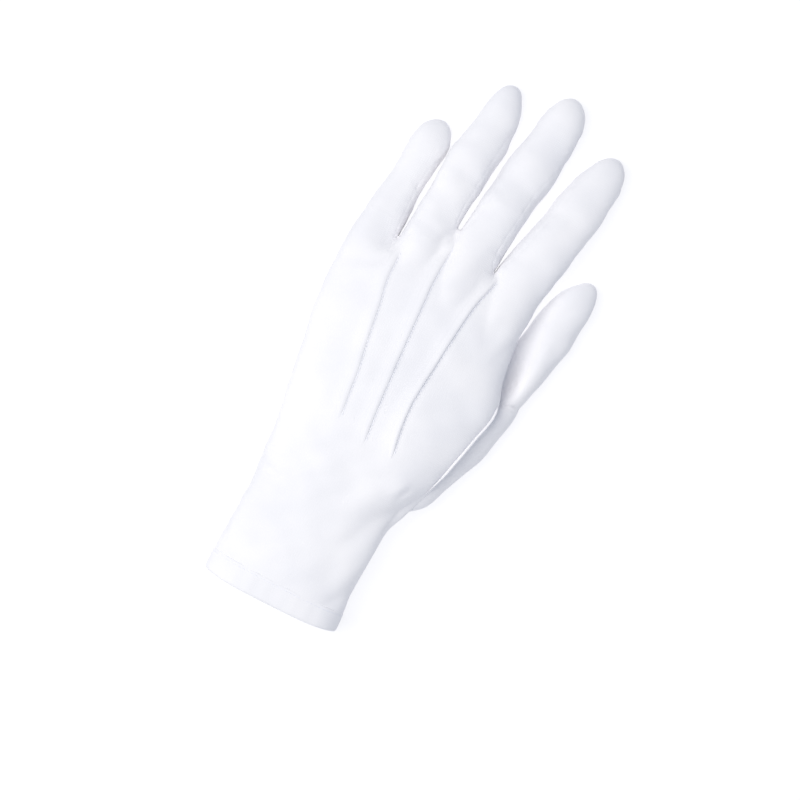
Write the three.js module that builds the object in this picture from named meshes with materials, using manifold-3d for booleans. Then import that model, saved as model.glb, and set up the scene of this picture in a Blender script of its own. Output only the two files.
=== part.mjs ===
// A short dress glove for the left hand: white knitted cotton, lying palm down and keeping the form
// of the hand. It is sewn from a back panel, a palm panel, three fourchettes between the fingers and
// a set-in thumb. There are three raised points on the back, a raised seam at the thumb's edge of the
// hand, a folded hem, and at the inner wrist a bound vent that a tab and a press stud close.
// Millimetres, +X towards the thumb, +Y to the fingertips, +Z up.
import * as THREE from "three";
import Module from "manifold-3d";

const wasm = await Module();
wasm.setup();

// Driving sizes of the cloth and its seams.
const CLOTH = 1.2; // thickness of every cloth wall
const GAP = 0.3; // what neighbouring pieces keep between them
const HEM_TOP = 8.8; // where the folded hem ends on the cuff
const HEM_CLOTH = 2.0; // thickness of the folded hem
const TAB_LIFT = 0.35; // how far the tab lies outside the underlap
const POINT_WIDTH = 3.6; // width of a raised point on the back
const POINT_HEIGHT = 1.1;
const POINT_START = 0.35; // how much of its size a point has at its ends
const POINT_RISE = 18; // over this length a point would grow from nothing to its full size
const WELT_RADIUS = 1.5; // bead of the seam at the edge of the hand
const FOURCHETTE_HALF = 5.5; // half the height of a fourchette's strip
const FOURCHETTE_SHORT = 13; // how far a fourchette stops from the shorter fingertip
const VENT = { x: -9.8, y: 41, halfX: 7.2, halfY: 10.5, binding: 2.4 };
const STUD = { x: -1.5, y: 15, cap: 6.75, capHeight: 2.85, post: 2, base: 4.5, baseHeight: 1.2 };
const UNDERLAP_END = 7.3; // the underlap's edge, hidden beneath the tab
const TAB_ROOT = 12; // where the tab has joined the cuff again

const PALM_SQUARE = 2.6; // 2 is an ellipse, and more is squarer
const FINGER_SQUARE = 2.25;
const PALM_SIDES = 28;
const FINGER_SIDES = 12;
const PALM_STEP = 10; // distance between sections
const FINGER_STEP = 19;
const SEAM_STEP = 15;
const POINT_STEPS = 12; // sections along a raised point
const NOSE_TURNS = [31, 57, 79]; // degrees round a fingertip where sections are taken
const ZONE_STEPS = 6; // sections in which the strip of a fourchette is made
const OVER = 5; // how far a cutting block reaches past what it cuts

// A table with named columns: one object for each row.
function table(columns, rows) {
  const names = columns.split(" ");
  return rows.map((row) => Object.fromEntries(names.map((name, i) => [name, row[i]])));
}

// Cuff and hand without the fingers. Each row is a section across the glove: its edges, its lowest,
// widest and highest level, slant, the slope of the section in plan, and bow, its curve in plan.
const PALM = table("y left right bottom side top slant bow", [
  [0, -32.0, 28.8, 4.9, 19, 34, 0.055, 2],
  [10, -32.6, 28.0, 4.8, 19, 33.4, 0.045, 0.8],
  [20, -33.0, 26.9, 4.6, 19, 33, 0.035, 0.3],
  [30, -33.1, 26.6, 4.4, 18.8, 32.6, 0.03, 0],
  [40, -33.4, 26.7, 3.6, 18.6, 32.6, 0.02, 0],
  [50, -34.4, 28.0, 1.6, 18.6, 33.2, 0, 0],
  [60, -35.6, 31.0, -0.8, 18.8, 34.2, 0, 0],
  [72, -38.0, 34.3, -1.6, 19.4, 35.4, 0, 0],
  [86, -40.7, 37.2, -1.6, 20.2, 36.2, 0, 0],
  [100, -43.5, 40.2, -1.0, 20.6, 36.2, 0, 0],
  [114, -46.6, 42.0, 1.2, 20.6, 35.4, 0, 0],
  [128, -48.9, 37.8, 3.6, 20.2, 34.2, 0, 0],
  [139, -49.6, 35.8, 5.0, 19.4, 32.6, 0, 0],
  [147, -46.0, 34.4, 5.8, 18.4, 30.6, 0, 0],
  [154, -34.0, 32.0, 6.8, 17.4, 28.2, 0, 0],
  [161, -26.0, 26.0, 7.6, 16.4, 25.6, 0, 0],
  [165, -21.5, 10.0, 8.2, 16.0, 24.1, 0, 0],
  [168, -16.5, -7.5, 8.8, 15.6, 22.6, 0, 0],
  [174, -12.5, -8.5, 10.6, 15.0, 19.2, 0, 0],
]);

// Fingers and thumb, from inside the hand to the tip. The round nose takes up the last stretch.
const FINGER_COLUMNS = "y left right bottom side top";
const FINGERS = {
  little: {
    nose: 15,
    rows: table(FINGER_COLUMNS, [
      [128, -47.6, -30, 7.5, 19.6, 29.5],
      [140, -49.8, -30.2, 6.2, 17.6, 27.6],
      [152, -49.8, -31.0, 5.4, 15.2, 24.8],
      [165, -49.1, -31.1, 4.2, 12.8, 21.2],
      [180, -48.3, -31.6, 2.4, 10.2, 17.8],
      [196, -47.2, -31.2, -0.6, 7.2, 14.6],
      [211, -47, -30.4, -0.8, 5.8, 13.2],
    ]),
  },
  ring: {
    nose: 17,
    rows: table(FINGER_COLUMNS, [
      [132, -28, -10, 7.8, 19.7, 31.6],
      [150, -29.8, -10.2, 6.6, 18.2, 29.8],
      [165, -30.2, -10.9, 6.6, 16.8, 26.8],
      [180, -30.3, -10.8, 6, 15, 23.6],
      [195, -29.9, -10.2, 4.6, 12.8, 20.8],
      [210, -29.2, -9.9, 1.8, 9.8, 17.6],
      [222, -27.9, -10.1, -0.6, 7.4, 15.2],
      [239, -28.7, -11.3, -0.8, 6, 13.8],
    ]),
  },
  middle: {
    nose: 17,
    rows: table(FINGER_COLUMNS, [
      [132, -8.5, 11, 7.8, 20, 32.8],
      [150, -10, 11.8, 6.8, 18.8, 31],
      [165, -10.2, 11.2, 7, 17.4, 28],
      [180, -9.4, 11.6, 6.6, 15.8, 24.8],
      [195, -8.1, 12.8, 5.4, 13.8, 22],
      [210, -6.6, 14.0, 3, 11.2, 19.2],
      [222, -5.3, 14.9, 0.6, 8.6, 16.6],
      [230, -4.5, 15.2, -0.6, 7.4, 15.2],
      [246.8, -4.2, 14.8, -0.8, 6, 13.8],
    ]),
  },
  index: {
    nose: 16,
    rows: table(FINGER_COLUMNS, [
      [130, 11, 34.6, 7.8, 19.5, 31.4],
      [150, 11.0, 34.4, 6.6, 18, 29.2],
      [165, 11.9, 35.2, 6.4, 16.6, 26.4],
      [180, 14.2, 37.2, 5.8, 14.8, 23.6],
      [195, 17.0, 39.0, 4, 12.4, 20.6],
      [207, 19.2, 40.1, 1.8, 9.8, 17.8],
      [218, 21.3, 40.7, -0.6, 7.6, 15.6],
      [234, 24.3, 42.5, -0.8, 6.2, 14],
    ]),
  },
};
const THUMB = {
  nose: 18,
  rows: table(FINGER_COLUMNS, [
    [56, 8, 24.5, 3.5, 12, 19],
    [66, 9, 35.4, -0.6, 11, 20],
    [78, 11, 40.0, -1.6, 10, 19.6],
    [90, 14, 44.0, -1.6, 9.5, 19.2],
    [103, 20, 48.0, -1.4, 9, 18.8],
    [115, 26.5, 50.0, -1, 8.8, 18.4],
    [124, 30.8, 49.8, -0.8, 8.6, 18],
    [136, 33.8, 52.6, -0.8, 8.4, 17.4],
    [150, 35.3, 55.0, -0.8, 8, 16.8],
    [164.5, 37.4, 55.6, -0.8, 7.4, 15.8],
    [182.5, 41.4, 58.6, -0.8, 6, 14],
  ]),
};

// Folds and hollows of the back, each a soft trough: its middle, the direction it runs in degrees
// from +X, half its length and half its width, and its depth. A negative depth is a raised ridge.
const FOLDS = table("x y turn long wide depth", [
  [27.0, 60, 78, 9, 3.6, 3.2],
  [33.5, 73, 70, 7, 3.2, 1.6],
  [20.5, 58, 70, 10, 4.5, -1.0],
  [-31, 47.5, 10, 7, 4.5, 1.3],
  [-36.5, 145.5, 55, 8, 3.4, 1.4],
  [-27.0, 166, 90, 7, 3.4, 1.2],
  [-20.5, 172, 25, 6, 3.6, 0.7],
  [-10.6, 170, 88, 9, 3.4, 1.2],
  [11.2, 166, 95, 9, 3.4, 1.2],
  [-1, 58, 0, 26, 7, 0.8],
]);

// The hollow of the thumb beside the edge of the hand, where the crotch draws the cloth in.
const THUMB_FOLDS = table("x y turn long wide depth", [[38.5, 129, 88, 16, 5, 5]]);

// The raised points on the back, as lines in plan.
const POINTS = {
  outer: table("y x", [
    [82, -15], [95, -17], [103, -18.3], [110, -20], [122, -22.5], [130, -24], [140, -26.5], [153, -27.5],
  ]),
  middle: table("y x", [
    [77, -0.6], [85, -2], [100, -4], [118, -6], [130, -7.3], [140, -8.3], [150, -9.3], [168, -9.4],
  ]),
  inner: table("y x", [
    [78, 12.5], [87, 10.3], [100, 8.6], [110, 8.7], [120, 9.2], [130, 9.5], [150, 11], [162, 13.8],
  ]),
};

// A smooth curve through one column of a table, as a function of y.
function column(rows, name) {
  const slope = (i) => {
    const a = rows[Math.max(i - 1, 0)];
    const b = rows[Math.min(i + 1, rows.length - 1)];
    return (b[name] - a[name]) / (b.y - a.y);
  };
  return (y) => {
    const above = rows.findIndex((row) => row.y > y);
    const i = above < 0 ? rows.length - 2 : Math.max(above - 1, 0);
    const [a, b] = [rows[i], rows[i + 1]];
    const span = b.y - a.y;
    const t = THREE.MathUtils.clamp((y - a.y) / span, 0, 1);
    const [t2, t3] = [t * t, t * t * t];
    return (
      a[name] * (2 * t3 - 3 * t2 + 1) +
      slope(i) * span * (t3 - 2 * t2 + t) +
      b[name] * (3 * t2 - 2 * t3) +
      slope(i + 1) * span * (t3 - t2)
    );
  };
}

// A limb of the glove: at(y, grow) is its section, grown or shrunk all round by a thickness.
const FINGER = { folds: FOLDS, nose: 0, square: FINGER_SQUARE, sides: FINGER_SIDES, step: FINGER_STEP };
function limb(given) {
  const { rows, folds, nose, square, sides, step } = { ...FINGER, ...given };
  const names = Object.keys(rows[0]).filter((name) => name !== "y");
  const curves = names.map((name) => [name, column(rows, name)]);
  const tip = rows.at(-1).y;
  const at = (y, grow = 0) => {
    const s = Object.fromEntries(curves.map(([name, curve]) => [name, curve(y)]));
    const into = nose ? THREE.MathUtils.clamp((y - tip + nose) / (nose + grow), 0, 1) : 0;
    const keep = Math.sqrt(1 - into * into);
    return {
      y,
      centre: (s.left + s.right) / 2,
      side: s.side,
      slant: s.slant ?? 0,
      bow: s.bow ?? 0,
      width: (s.right - s.left) / 2,
      half: ((s.right - s.left) / 2 + grow) * keep,
      up: (s.top - s.side + grow) * keep,
      down: (s.side - s.bottom + grow) * keep,
    };
  };
  return { at, tip, folds, nose, square, sides, step, start: rows[0].y };
}

const palm = limb({ rows: PALM, square: PALM_SQUARE, sides: PALM_SIDES, step: PALM_STEP });
const fingers = Object.fromEntries(Object.entries(FINGERS).map(([name, f]) => [name, limb(f)]));
const thumb = limb({ ...THUMB, folds: THUMB_FOLDS });
const hand = [palm, ...Object.values(fingers)];

// How deep the folds are at a place in plan.
function foldDepth(folds, x, y) {
  return folds.reduce((sum, fold) => {
    const turn = THREE.MathUtils.degToRad(fold.turn);
    const along = (x - fold.x) * Math.cos(turn) + (y - fold.y) * Math.sin(turn);
    const across = (y - fold.y) * Math.cos(turn) - (x - fold.x) * Math.sin(turn);
    return sum + fold.depth * Math.exp(-((along / fold.long) ** 2) - (across / fold.wide) ** 2);
  }, 0);
}

// A closed mesh as a solid for joining and cutting, and back.
function solidOf(geometry) {
  const position = geometry.getAttribute("position");
  const found = new Map();
  const points = [];
  const corners = geometry.index ? [...geometry.index.array] : [...Array(position.count).keys()];
  const triVerts = corners.map((i) => {
    const p = [position.getX(i), position.getY(i), position.getZ(i)].map((c) => Math.round(c * 1e4) / 1e4);
    const key = p.join();
    if (!found.has(key)) {
      found.set(key, found.size);
      points.push(...p);
    }
    return found.get(key);
  });
  const mesh = new wasm.Mesh({
    numProp: 3,
    vertProperties: Float32Array.from(points),
    triVerts: Uint32Array.from(triVerts),
  });
  return new wasm.Manifold(mesh);
}

function geometryOf(solid) {
  const made = solid.getMesh();
  return new THREE.BufferGeometry()
    .setAttribute("position", new THREE.BufferAttribute(made.vertProperties, 3))
    .setIndex(new THREE.BufferAttribute(made.triVerts, 1));
}

const joined = (solids) => solids.reduce((all, one) => all.add(one));

// A solid through rings of points with the same number of corners, closed at both ends.
function stack(rings) {
  const sides = rings[0].length;
  const points = rings.flat();
  const faces = [];
  for (let r = 0; r + 1 < rings.length; r++) {
    for (let i = 0; i < sides; i++) {
      const j = (i + 1) % sides;
      const [a, b, c, d] = [r * sides + i, r * sides + j, (r + 1) * sides + j, (r + 1) * sides + i];
      faces.push(a, b, c, a, c, d);
    }
  }
  for (const end of [0, rings.length - 1]) {
    const middle = new THREE.Vector3();
    rings[end].forEach((p) => middle.addScaledVector(p, 1 / sides));
    const hub = points.push(middle) - 1;
    for (let i = 0; i < sides; i++) {
      const [a, b] = [end * sides + i, end * sides + ((i + 1) % sides)];
      faces.push(...(end ? [hub, a, b] : [hub, b, a]));
    }
  }
  const geometry = new THREE.BufferGeometry().setFromPoints(points).setIndex(faces);
  const solid = solidOf(geometry);
  return solid.volume() > 0 ? solid : solidOf(geometry.setIndex(faces.reverse()));
}

// One section of a limb as a ring of points, with the folds pressed into its upper half.
function ringOf(section, { square, sides, folds }) {
  const bend = (c) => Math.sign(c) * Math.abs(c) ** (2 / square);
  return Array.from({ length: sides }, (_, i) => {
    const turn = (2 * Math.PI * (i + 0.5)) / sides;
    const across = section.half * bend(Math.cos(turn));
    const rise = bend(Math.sin(turn));
    const x = section.centre + across;
    const y = section.y + section.slant * across - section.bow * (1 - (across / section.width) ** 4);
    const fold = rise > 0 ? foldDepth(folds, x, y) * Math.min(rise * 2, 1) : 0;
    const z = section.side + (rise > 0 ? section.up : section.down) * rise - fold;
    return new THREE.Vector3(x, y, z);
  });
}

// A limb as a solid, grown or shrunk all round. Sections are closer together round the nose.
function loft(part, { grow = 0, from = part.start, to = part.tip } = {}) {
  const shaft = part.nose ? part.tip - part.nose : to;
  const count = Math.max(Math.ceil((shaft - from) / part.step), 1);
  const ys = Array.from({ length: count + 1 }, (_, i) => from + ((shaft - from) * i) / count);
  if (part.nose) {
    const reach = (turn) => (part.nose + grow) * Math.sin(THREE.MathUtils.degToRad(turn));
    ys.push(...NOSE_TURNS.map((turn) => shaft + reach(turn)));
  }
  return stack(ys.map((y) => ringOf(part.at(y, grow), part)));
}

// A level of the back of the hand at a place in plan.
function backLevel(x, y) {
  const levels = hand.map((part) => {
    const s = part.at(y);
    const across = Math.abs(x - s.centre) / s.half;
    const inside = across < 1 && y >= part.start && y <= part.tip;
    return inside ? s.side + s.up * (1 - across ** part.square) ** (1 / part.square) : -Infinity;
  });
  return Math.max(...levels) - foldDepth(FOLDS, x, y);
}

// An upright block over a shape in plan.
function prism(shape, low, high, segments = 10) {
  const options = { depth: high - low, bevelEnabled: false, curveSegments: segments };
  return solidOf(new THREE.ExtrudeGeometry(shape, options).translate(0, 0, low));
}

function box(x0, x1, y0, y1, z0, z1) {
  const size = [x1 - x0, y1 - y0, z1 - z0];
  return solidOf(new THREE.BoxGeometry(...size).translate((x0 + x1) / 2, (y0 + y1) / 2, (z0 + z1) / 2));
}

// What is left of a solid above a level, where the cloth lies flat on the table.
const BEYOND = 300; // further than any piece reaches
const sole = (solid, level) => solid.subtract(box(-BEYOND, BEYOND, -BEYOND, BEYOND, -BEYOND, level));

// A layer of cloth of the cuff between two depths, as far up as a level of y.
const cuffLayer = (outer, inner, to) =>
  loft(palm, { grow: outer, to }).subtract(loft(palm, { grow: inner, from: -OVER, to: to + OVER }));

// The strip between two neighbouring fingers that a fourchette takes up.
function fourchetteZone(one, two, start, spare) {
  const end = Math.min(one.tip, two.tip) - FOURCHETTE_SHORT + spare;
  const rings = [];
  for (let y = start; y < end + 1; y += (end - start) / ZONE_STEPS) {
    const [a, b] = [one.at(Math.min(y, one.tip - one.nose)), two.at(Math.min(y, two.tip - two.nose))];
    const half = FOURCHETTE_HALF + spare;
    const [left, right] = [a.centre + GAP, b.centre - GAP];
    const corners = [
      [left, a.side - half],
      [right, b.side - half],
      [right, b.side + half],
      [left, a.side + half],
    ];
    rings.push(corners.map(([x, z]) => new THREE.Vector3(x, y, z)));
  }
  return stack(rings);
}

// Outside and inside of the hand, and the same for the thumb.
const outside = (grow) => joined(hand.map((part) => loft(part, { grow })));
const WEB = 172; // where the hollow of the hand ends between the fingers
const palmRoom = loft(palm, { grow: -CLOTH, from: -OVER, to: WEB });
const fingerRooms = Object.values(fingers).map((part) => loft(part, { grow: -CLOTH }));
const thumbRoom = sole(loft(thumb, { grow: -CLOTH }), CLOTH);
const handRoom = sole(joined([palmRoom, ...fingerRooms]), CLOTH);
const handShell = sole(outside(0), 0).subtract(handRoom).subtract(thumbRoom);

// The fourchettes, and the shell that is left without them. Each starts inside the web of the hand.
const PAIRS = [
  { one: "little", two: "ring", start: 140 },
  { one: "ring", two: "middle", start: 152 },
  { one: "middle", two: "index", start: 148 },
];
const fourchettes = {};
let panels = handShell;
for (const { one, two, start } of PAIRS) {
  fourchettes[`${one}_${two}`] = handShell.intersect(fourchetteZone(fingers[one], fingers[two], start, 0));
  panels = panels.subtract(fourchetteZone(fingers[one], fingers[two], start - GAP, GAP));
}

// The vent is a bound keyhole above a slit, whose one side is the underlap that the tab covers.
const keyhole = (grow, low, high) => {
  const halves = [VENT.halfX + grow, VENT.halfY + grow];
  return prism(new THREE.Shape().absellipse(VENT.x, VENT.y, ...halves, 0, 2 * Math.PI), low, high);
};
const lowHalf = PALM[0].side; // what is cut at the vent is below this level
const slitTop = VENT.y - VENT.halfY - GAP;
const slitEnd = UNDERLAP_END + GAP;
const BELOW = -20; // a level of y below the cuff's open end
const slit = box(UNDERLAP_END, slitEnd, BELOW, slitTop, 0, lowHalf).add(
  box(VENT.x, slitEnd, slitTop - GAP, slitTop, 0, lowHalf),
);

// An outline in plan, as points or as a smooth curve through them.
const inPlan = (rows) => rows.map(({ x, y }) => new THREE.Vector2(x, y));

// The tab is a second layer outside the underlap, with a rounded end, and joins the cuff at its root.
// Its root starts a hair inside the edge of the slit, so that no two faces lie in one plane.
const HAIR = 0.05;
const TAB_TOP = 34;
const TAB_CORNER = { x: -2, y: -1.5 };
const TAB_EDGE = table("x y", [
  [-5.5, 1.5], [-8.5, 6], [-10.2, 12], [-10.5, 18], [-9.8, 25], [-6, 31], [-3.6, TAB_TOP],
]);
const tabShape = new THREE.Shape();
tabShape.moveTo(TAB_ROOT, BELOW);
tabShape.lineTo(TAB_CORNER.x, BELOW);
tabShape.lineTo(TAB_CORNER.x, TAB_CORNER.y);
tabShape.splineThru(inPlan(TAB_EDGE));
tabShape.lineTo(TAB_ROOT, TAB_TOP);
const tabBlock = prism(tabShape, -OVER, lowHalf, 2);
const ROOT_CORNERS = table("x y", [
  [slitEnd + HAIR, BELOW],
  [TAB_ROOT, BELOW],
  [TAB_ROOT, TAB_TOP],
  [1, TAB_TOP],
  [1, slitTop + HAIR],
  [slitEnd + HAIR, slitTop + HAIR],
]);
const rootBlock = prism(new THREE.Shape(inPlan(ROOT_CORNERS)), -OVER, lowHalf);
const TAB_REACH = 40; // how far up the tab's layer of the cuff is made before it is cut
function tabCloth(thick) {
  const flap = cuffLayer(TAB_LIFT + thick, TAB_LIFT, TAB_REACH).intersect(tabBlock);
  const root = cuffLayer(TAB_LIFT + thick, -thick / 2, TAB_REACH).intersect(rootBlock);
  return flap.subtract(keyhole(0, -OVER, lowHalf)).add(root);
}

// The press stud: a domed cap outside the tab, and the stud inside, whose post passes both layers.
const cuffLevel = PALM[1].bottom;
const STUD_SIDES = 16;
const studRound = new THREE.Shape().absarc(STUD.x, STUD.y, STUD.post + GAP, 0, 2 * Math.PI);
const studHole = prism(studRound, -OVER, lowHalf);
const turned = (profile) =>
  solidOf(
    new THREE.LatheGeometry(profile.map(([r, z]) => new THREE.Vector2(r, z)), STUD_SIDES)
      .rotateX(Math.PI / 2)
      .translate(STUD.x, STUD.y, 0),
  );
const CAP_PROFILE = table("across z", [
  [0, 0], [0.35, 0], [0.6, 0.14], [0.8, 0.42], [0.94, 0.9], [1, 1.5], [0.97, 2.1],
  [0.9, STUD.capHeight], [0, STUD.capHeight],
]);
const cap = turned(CAP_PROFILE.map(({ across, z }) => [across * STUD.cap, z]));
const baseLow = cuffLevel + CLOTH + GAP + 0.1;
const stud = turned([
  [0, STUD.capHeight + GAP],
  [STUD.post, STUD.capHeight + GAP],
  [STUD.post, baseLow],
  [STUD.base, baseLow],
  [STUD.base, baseLow + STUD.baseHeight],
  [0, baseLow + STUD.baseHeight],
]);

// The hem is cut from the cuff's end, where the cloth is double.
const cuffEnd = (top) => loft(palm, { grow: OVER, from: -3 * OVER, to: top });
const cuff = panels.subtract(slit).subtract(keyhole(VENT.binding + GAP, 0, lowHalf)).add(tabCloth(CLOTH));
const sewn = cuff.subtract(cuffEnd(HEM_TOP + GAP)).subtract(studHole);
const hemRing = loft(palm, { to: HEM_TOP + OVER }).subtract(
  loft(palm, { grow: -HEM_CLOTH, from: -OVER, to: HEM_TOP + 2 * OVER }),
);
const hem = hemRing.subtract(slit).add(tabCloth(HEM_CLOTH)).intersect(cuffEnd(HEM_TOP));
const binding = cuffLayer(0, -2 * CLOTH, VENT.y + 2 * VENT.halfY).intersect(
  keyhole(VENT.binding, 0, lowHalf).subtract(keyhole(0, 0, lowHalf)),
);

// Everything below the seam between the panels, which runs round the hand at its widest level.
function underSeam(lift) {
  const columns = Object.values(fingers);
  const wide = 80; // beyond both edges of the glove
  const rings = [];
  for (let y = BELOW; y <= fingers.middle.tip + OVER; y += SEAM_STEP) {
    const level = (part) => (y < part.start ? palm : part).at(y).side + lift;
    const tops = columns.flatMap((part) => {
      const { centre, width } = part.at(y);
      return [centre - width * 0.8, centre + width * 0.8].map((x) => [x, level(part)]);
    });
    const edge = [[-wide, level(columns[0])], ...tops, [wide, level(columns.at(-1))]];
    rings.push([...edge, [wide, BELOW], [-wide, BELOW]].map(([x, z]) => new THREE.Vector3(x, y, z)));
  }
  return stack(rings);
}

// A raised point: a low ridge laid on the back, steeper on the thumb's side, that fades at its ends.
const POINT_PROFILE = table("across lift", [
  [-0.5, 0], [0.5, 0], [0.48, 0.55], [0.3, 1], [0, 0.85], [-0.48, 0.3],
]);
function point(rows) {
  const x = column(rows, "x");
  const [from, to] = [rows[0].y, rows.at(-1).y];
  const rings = [];
  for (let i = 0; i <= POINT_STEPS; i++) {
    const y = from + ((to - from) * i) / POINT_STEPS;
    const fade = Math.min(1, POINT_START + Math.min(y - from, to - y) / POINT_RISE);
    rings.push(
      POINT_PROFILE.map(({ across, lift }) => {
        const at = x(y) + across * POINT_WIDTH * fade;
        return new THREE.Vector3(at, y, backLevel(at, y) + GAP + lift * POINT_HEIGHT * fade);
      }),
    );
  }
  return stack(rings);
}

// The raised seam lies along the edge of the hand, from the thumb's crotch towards the wrist.
const WELT = table("y x", [[72, 33.2], [80, 35.2], [92, 37.6], [102, 39.4], [112, 41.2], [118, 40.8]]);
const weltLine = WELT.map(({ x, y }) => new THREE.Vector3(x, y, backLevel(x, y)));
const weltSweep = {
  extrudePath: new THREE.CatmullRomCurve3(weltLine),
  steps: 8,
  curveSegments: 4,
  bevelEnabled: false,
};
const weltShape = new THREE.Shape().absarc(0, 0, WELT_RADIUS, 0, 2 * Math.PI);
const welt = solidOf(new THREE.ExtrudeGeometry(weltShape, weltSweep));

const thumbShell = sole(loft(thumb), 0).subtract(thumbRoom);
const clearOfHand = outside(GAP);

const glove = new THREE.Group();
const white = { color: 0xf3f4fa, roughness: 0.9, metalness: 0 };
const gloss = { color: 0xf7f8fb, roughness: 0.3, metalness: 0 };
function piece(name, solid, look = white) {
  const mesh = new THREE.Mesh(geometryOf(solid), new THREE.MeshStandardMaterial(look));
  mesh.name = name;
  glove.add(mesh);
}

piece("back_panel", sewn.subtract(underSeam(GAP / 2)));
piece("palm_panel", sewn.intersect(underSeam(-GAP / 2)));
for (const [name, solid] of Object.entries(fourchettes)) piece(`fourchette_${name}`, solid);
piece("thumb", thumbShell.subtract(clearOfHand));
for (const [name, rows] of Object.entries(POINTS)) piece(`point_${name}`, point(rows).subtract(clearOfHand));
piece("side_welt", welt.subtract(clearOfHand).subtract(loft(thumb, { grow: GAP })));
piece("cuff_hem", hem);
piece("vent_binding", binding);
piece("stud_cap", cap, gloss);
piece("stud_post", stud, gloss);

// The origin is at the middle of the underside.
const bounds = new THREE.Box3().setFromObject(glove);
const centre = bounds.getCenter(new THREE.Vector3());
glove.children.forEach((mesh) => mesh.geometry.translate(-centre.x, -centre.y, -bounds.min.z));

export default glove;
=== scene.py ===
import math

import bmesh
import bpy
import numpy as np
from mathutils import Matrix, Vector
from mathutils.bvhtree import BVHTree
from mathutils.kdtree import KDTree


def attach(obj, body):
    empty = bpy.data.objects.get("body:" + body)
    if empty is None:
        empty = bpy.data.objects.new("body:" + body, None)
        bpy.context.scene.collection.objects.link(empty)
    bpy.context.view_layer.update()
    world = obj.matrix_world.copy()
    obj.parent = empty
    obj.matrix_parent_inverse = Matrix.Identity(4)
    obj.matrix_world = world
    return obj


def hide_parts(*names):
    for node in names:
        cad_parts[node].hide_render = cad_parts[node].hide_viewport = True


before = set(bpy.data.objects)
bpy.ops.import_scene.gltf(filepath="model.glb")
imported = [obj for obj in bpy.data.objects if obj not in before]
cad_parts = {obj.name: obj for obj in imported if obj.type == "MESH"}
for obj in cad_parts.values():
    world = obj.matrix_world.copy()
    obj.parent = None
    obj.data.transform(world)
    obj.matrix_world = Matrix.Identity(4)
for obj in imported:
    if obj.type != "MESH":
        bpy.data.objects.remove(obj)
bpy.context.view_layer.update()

# Back panel, palm panel and fourchettes.
# They are one skin of fine cotton jersey, 1.2 mm thick with its seam allowances, cut apart along the
# seams: round the hand at its widest level, and on both sides of each gap between two fingers.

MM = 0.001
CLOTH = 1.2
ORIGIN = np.array([2.7144, 122.1851])  # the frame's origin, measured from the middle of the hem


def table(columns, rows):
    """A table with named columns: one array for each."""
    return {name: np.array([row[i] for row in rows], float) for i, name in enumerate(columns.split())}


def read(rows, name, y):
    """A smooth curve through one column, read at y."""
    ys, values = rows["y"], rows[name]
    y = np.asarray(y, float)
    slope = np.gradient(values)
    slope[1:-1] = (values[2:] - values[:-2]) / (ys[2:] - ys[:-2])
    slope[0] = (values[1] - values[0]) / (ys[1] - ys[0])
    slope[-1] = (values[-1] - values[-2]) / (ys[-1] - ys[-2])
    i = np.clip(np.searchsorted(ys, y, side="right") - 1, 0, len(ys) - 2)
    span = ys[i + 1] - ys[i]
    t = np.clip((y - ys[i]) / span, 0, 1)
    return (
        values[i] * (2 * t**3 - 3 * t**2 + 1)
        + slope[i] * span * (t**3 - 2 * t**2 + t)
        + values[i + 1] * (3 * t**2 - 2 * t**3)
        + slope[i + 1] * span * (t**3 - t**2)
    )


PALM = table("y left right bottom side top slant bow", [
    (0, -32.0, 28.8, 4.9, 19, 34, 0.055, 2),
    (10, -32.6, 28.0, 4.8, 19, 33.4, 0.045, 0.8),
    (20, -33.0, 26.9, 4.6, 19, 33, 0.035, 0.3),
    (30, -33.1, 26.6, 4.4, 18.8, 32.6, 0.03, 0),
    (40, -33.4, 26.7, 3.6, 18.6, 32.6, 0.02, 0),
    (50, -34.4, 28.0, 1.6, 18.6, 33.2, 0, 0),
    (60, -35.6, 31.0, -0.8, 18.8, 34.2, 0, 0),
    (72, -38.0, 34.3, -1.6, 19.4, 35.4, 0, 0),
    (86, -40.7, 37.2, -1.6, 20.2, 36.2, 0, 0),
    (100, -43.5, 40.2, -1.0, 20.6, 36.2, 0, 0),
    (114, -46.6, 42.0, 1.2, 20.6, 35.4, 0, 0),
    (128, -48.9, 37.8, 3.6, 20.2, 34.2, 0, 0),
    (139, -49.6, 35.8, 5.0, 19.4, 32.6, 0, 0),
    (147, -46.0, 34.4, 5.8, 18.4, 30.6, 0, 0),
    (154, -34.0, 32.0, 6.8, 17.4, 28.2, 0, 0),
    (161, -26.0, 26.0, 7.6, 16.4, 25.6, 0, 0),
    (165, -21.5, 10.0, 8.2, 16.0, 24.1, 0, 0),
    (168, -16.5, -7.5, 8.8, 15.6, 22.6, 0, 0),
    (174, -12.5, -8.5, 10.6, 15.0, 19.2, 0, 0),
])
FINGER = "y left right bottom side top"
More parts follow.
